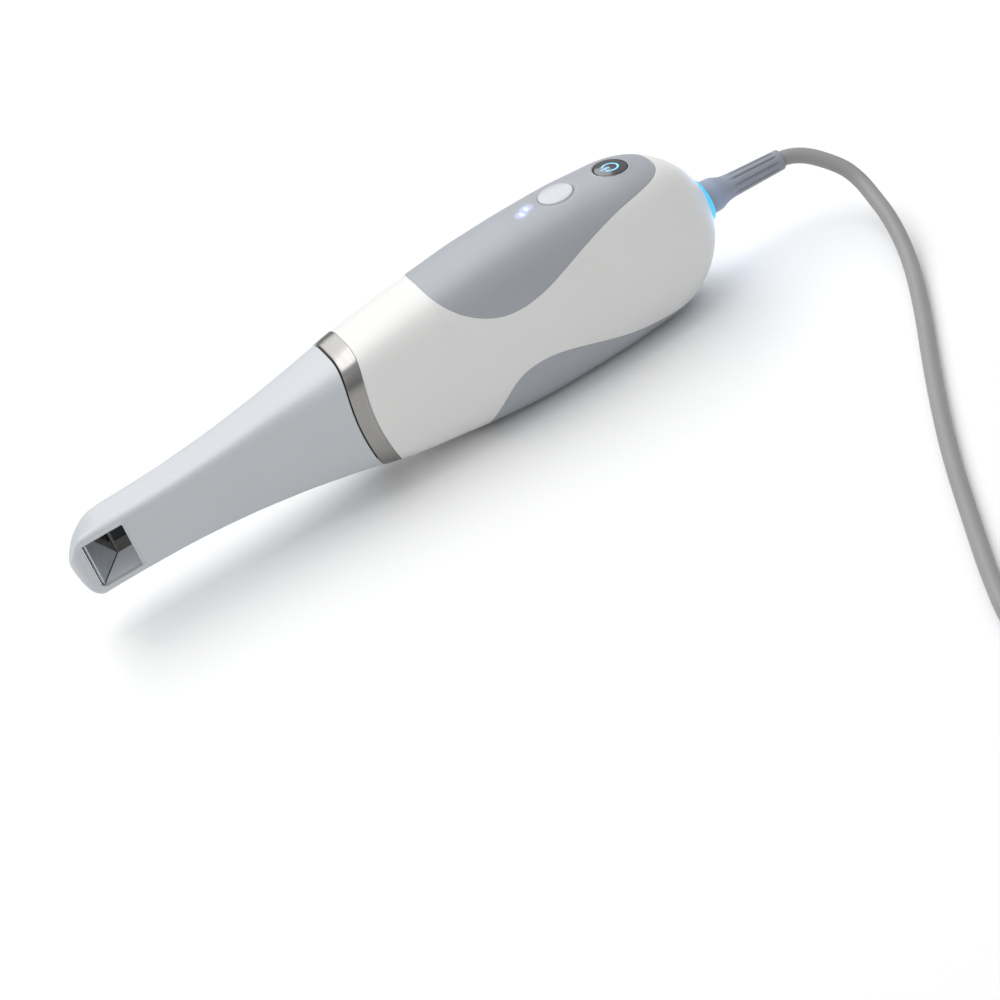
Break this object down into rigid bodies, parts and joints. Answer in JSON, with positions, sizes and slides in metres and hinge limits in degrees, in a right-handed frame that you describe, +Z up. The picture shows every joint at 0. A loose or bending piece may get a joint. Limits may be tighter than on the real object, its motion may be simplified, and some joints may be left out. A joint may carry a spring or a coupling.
{
  "type": "wired handheld intraoral scanner",
  "caption": "Wired handheld intraoral scanner with a removable side-window mirror tip, metal collar, rounded handle with two buttons, light ring, strain relief and coiled lead",
  "frame": {"origin": "bottom centre of the scanner's own box (without lead and plug), on the surface it rests on", "axes": "+X from the tip to the cable end, +Z up through the buttons, the tip's window looks along -Y"},
  "size_m": [0.2846, 0.2951, 0.056],
  "materials": {
    "tip_plastic": "satin pale grey autoclavable polymer",
    "mirror_glass": "front-surface mirror",
    "black_plastic": "matt black light baffle",
    "collar_metal": "satin brushed band",
    "nose_plastic": "matt dark grey",
    "seal_rubber": "silicone",
    "spring_steel": "spring steel",
    "optic_glass": "coated optical glass",
    "white_shell": "satin white moulding",
    "grey_cover": "fine satin cool grey moulding",
    "button_white": "translucent white",
    "button_black": "glossy black",
    "icon_glow": "back-lit inlay",
    "led_glow": "back-lit light pipe",
    "ring_glow": "back-lit diffuser ring",
    "board_green": "solder-masked circuit board",
    "chip_black": "moulded packages",
    "metal_frame": "machined",
    "heat_metal": "extruded, anodised",
    "relief_rubber": "moulded thermoplastic elastomer",
    "cable_jacket": "smooth silicone jacket",
    "tie_fabric": "hook and loop tape",
    "plug_plastic": "overmould",
    "plug_metal": "nickel plated",
    "plug_blue": "contact block",
    "screw_metal": "small machine screws",
    "flex_film": "polyimide film",
    "wire_mix": "insulated wires"
  },
  "bodies": {
    "handle": {"collar_ring": "collar_metal", "handle_nose": "nose_plastic", "nose_seal": "seal_rubber", "tip_clips": "spring_steel", "nose_window": "optic_glass", "main_housing": "white_shell", "top_cover": "grey_cover", "bottom_cover": "grey_cover", "indicator_lens": "led_glow", "button_board": "board_green", "switch_bodies": "chip_black", "indicator_leds": "button_white", "lens_barrel": "metal_frame", "front_lens": "optic_glass", "rear_lens": "optic_glass", "beam_splitter": "optic_glass", "image_sensor": "chip_black", "sensor_board": "board_green", "projector_lens": "optic_glass", "projector_module": "chip_black", "optical_frame": "metal_frame", "main_board": "board_green", "board_chips": "chip_black", "heat_sink": "heat_metal", "cable_socket": "button_white", "button_flex": "flex_film", "board_screws": "screw_metal", "light_ring": "ring_glow", "ring_led_board": "board_green", "strain_relief": "relief_rubber", "wire_harness": "wire_mix", "cable": "cable_jacket", "cable_coil": "cable_jacket", "cable_tie": "tie_fabric", "cable_tail": "cable_jacket", "plug_body": "plug_plastic", "plug_shell": "plug_metal", "plug_insert": "plug_blue"},
    "tip": {"tip_sleeve": "tip_plastic", "tip_mirror": "mirror_glass", "tip_baffle": "black_plastic"},
    "scan_key": {"scan_button": "button_white", "scan_plunger": "nose_plastic"},
    "power_key": {"power_button": "button_black", "power_icon": "icon_glow", "power_plunger": "nose_plastic"}
  },
  "joints": [
    {"name": "tip_slide", "type": "slide", "parent": "handle", "child": "tip", "axis": [-1, 0, 0], "range_m": [0, 0.045]},
    {"name": "scan_press", "type": "slide", "parent": "handle", "child": "scan_key", "axis": [0, 0, -1], "range_m": [0, 0.0006], "stiffness_N_per_m": 2500},
    {"name": "power_press", "type": "slide", "parent": "handle", "child": "power_key", "axis": [0, 0, -1], "range_m": [0, 0.0006], "stiffness_N_per_m": 2500}
  ]
}
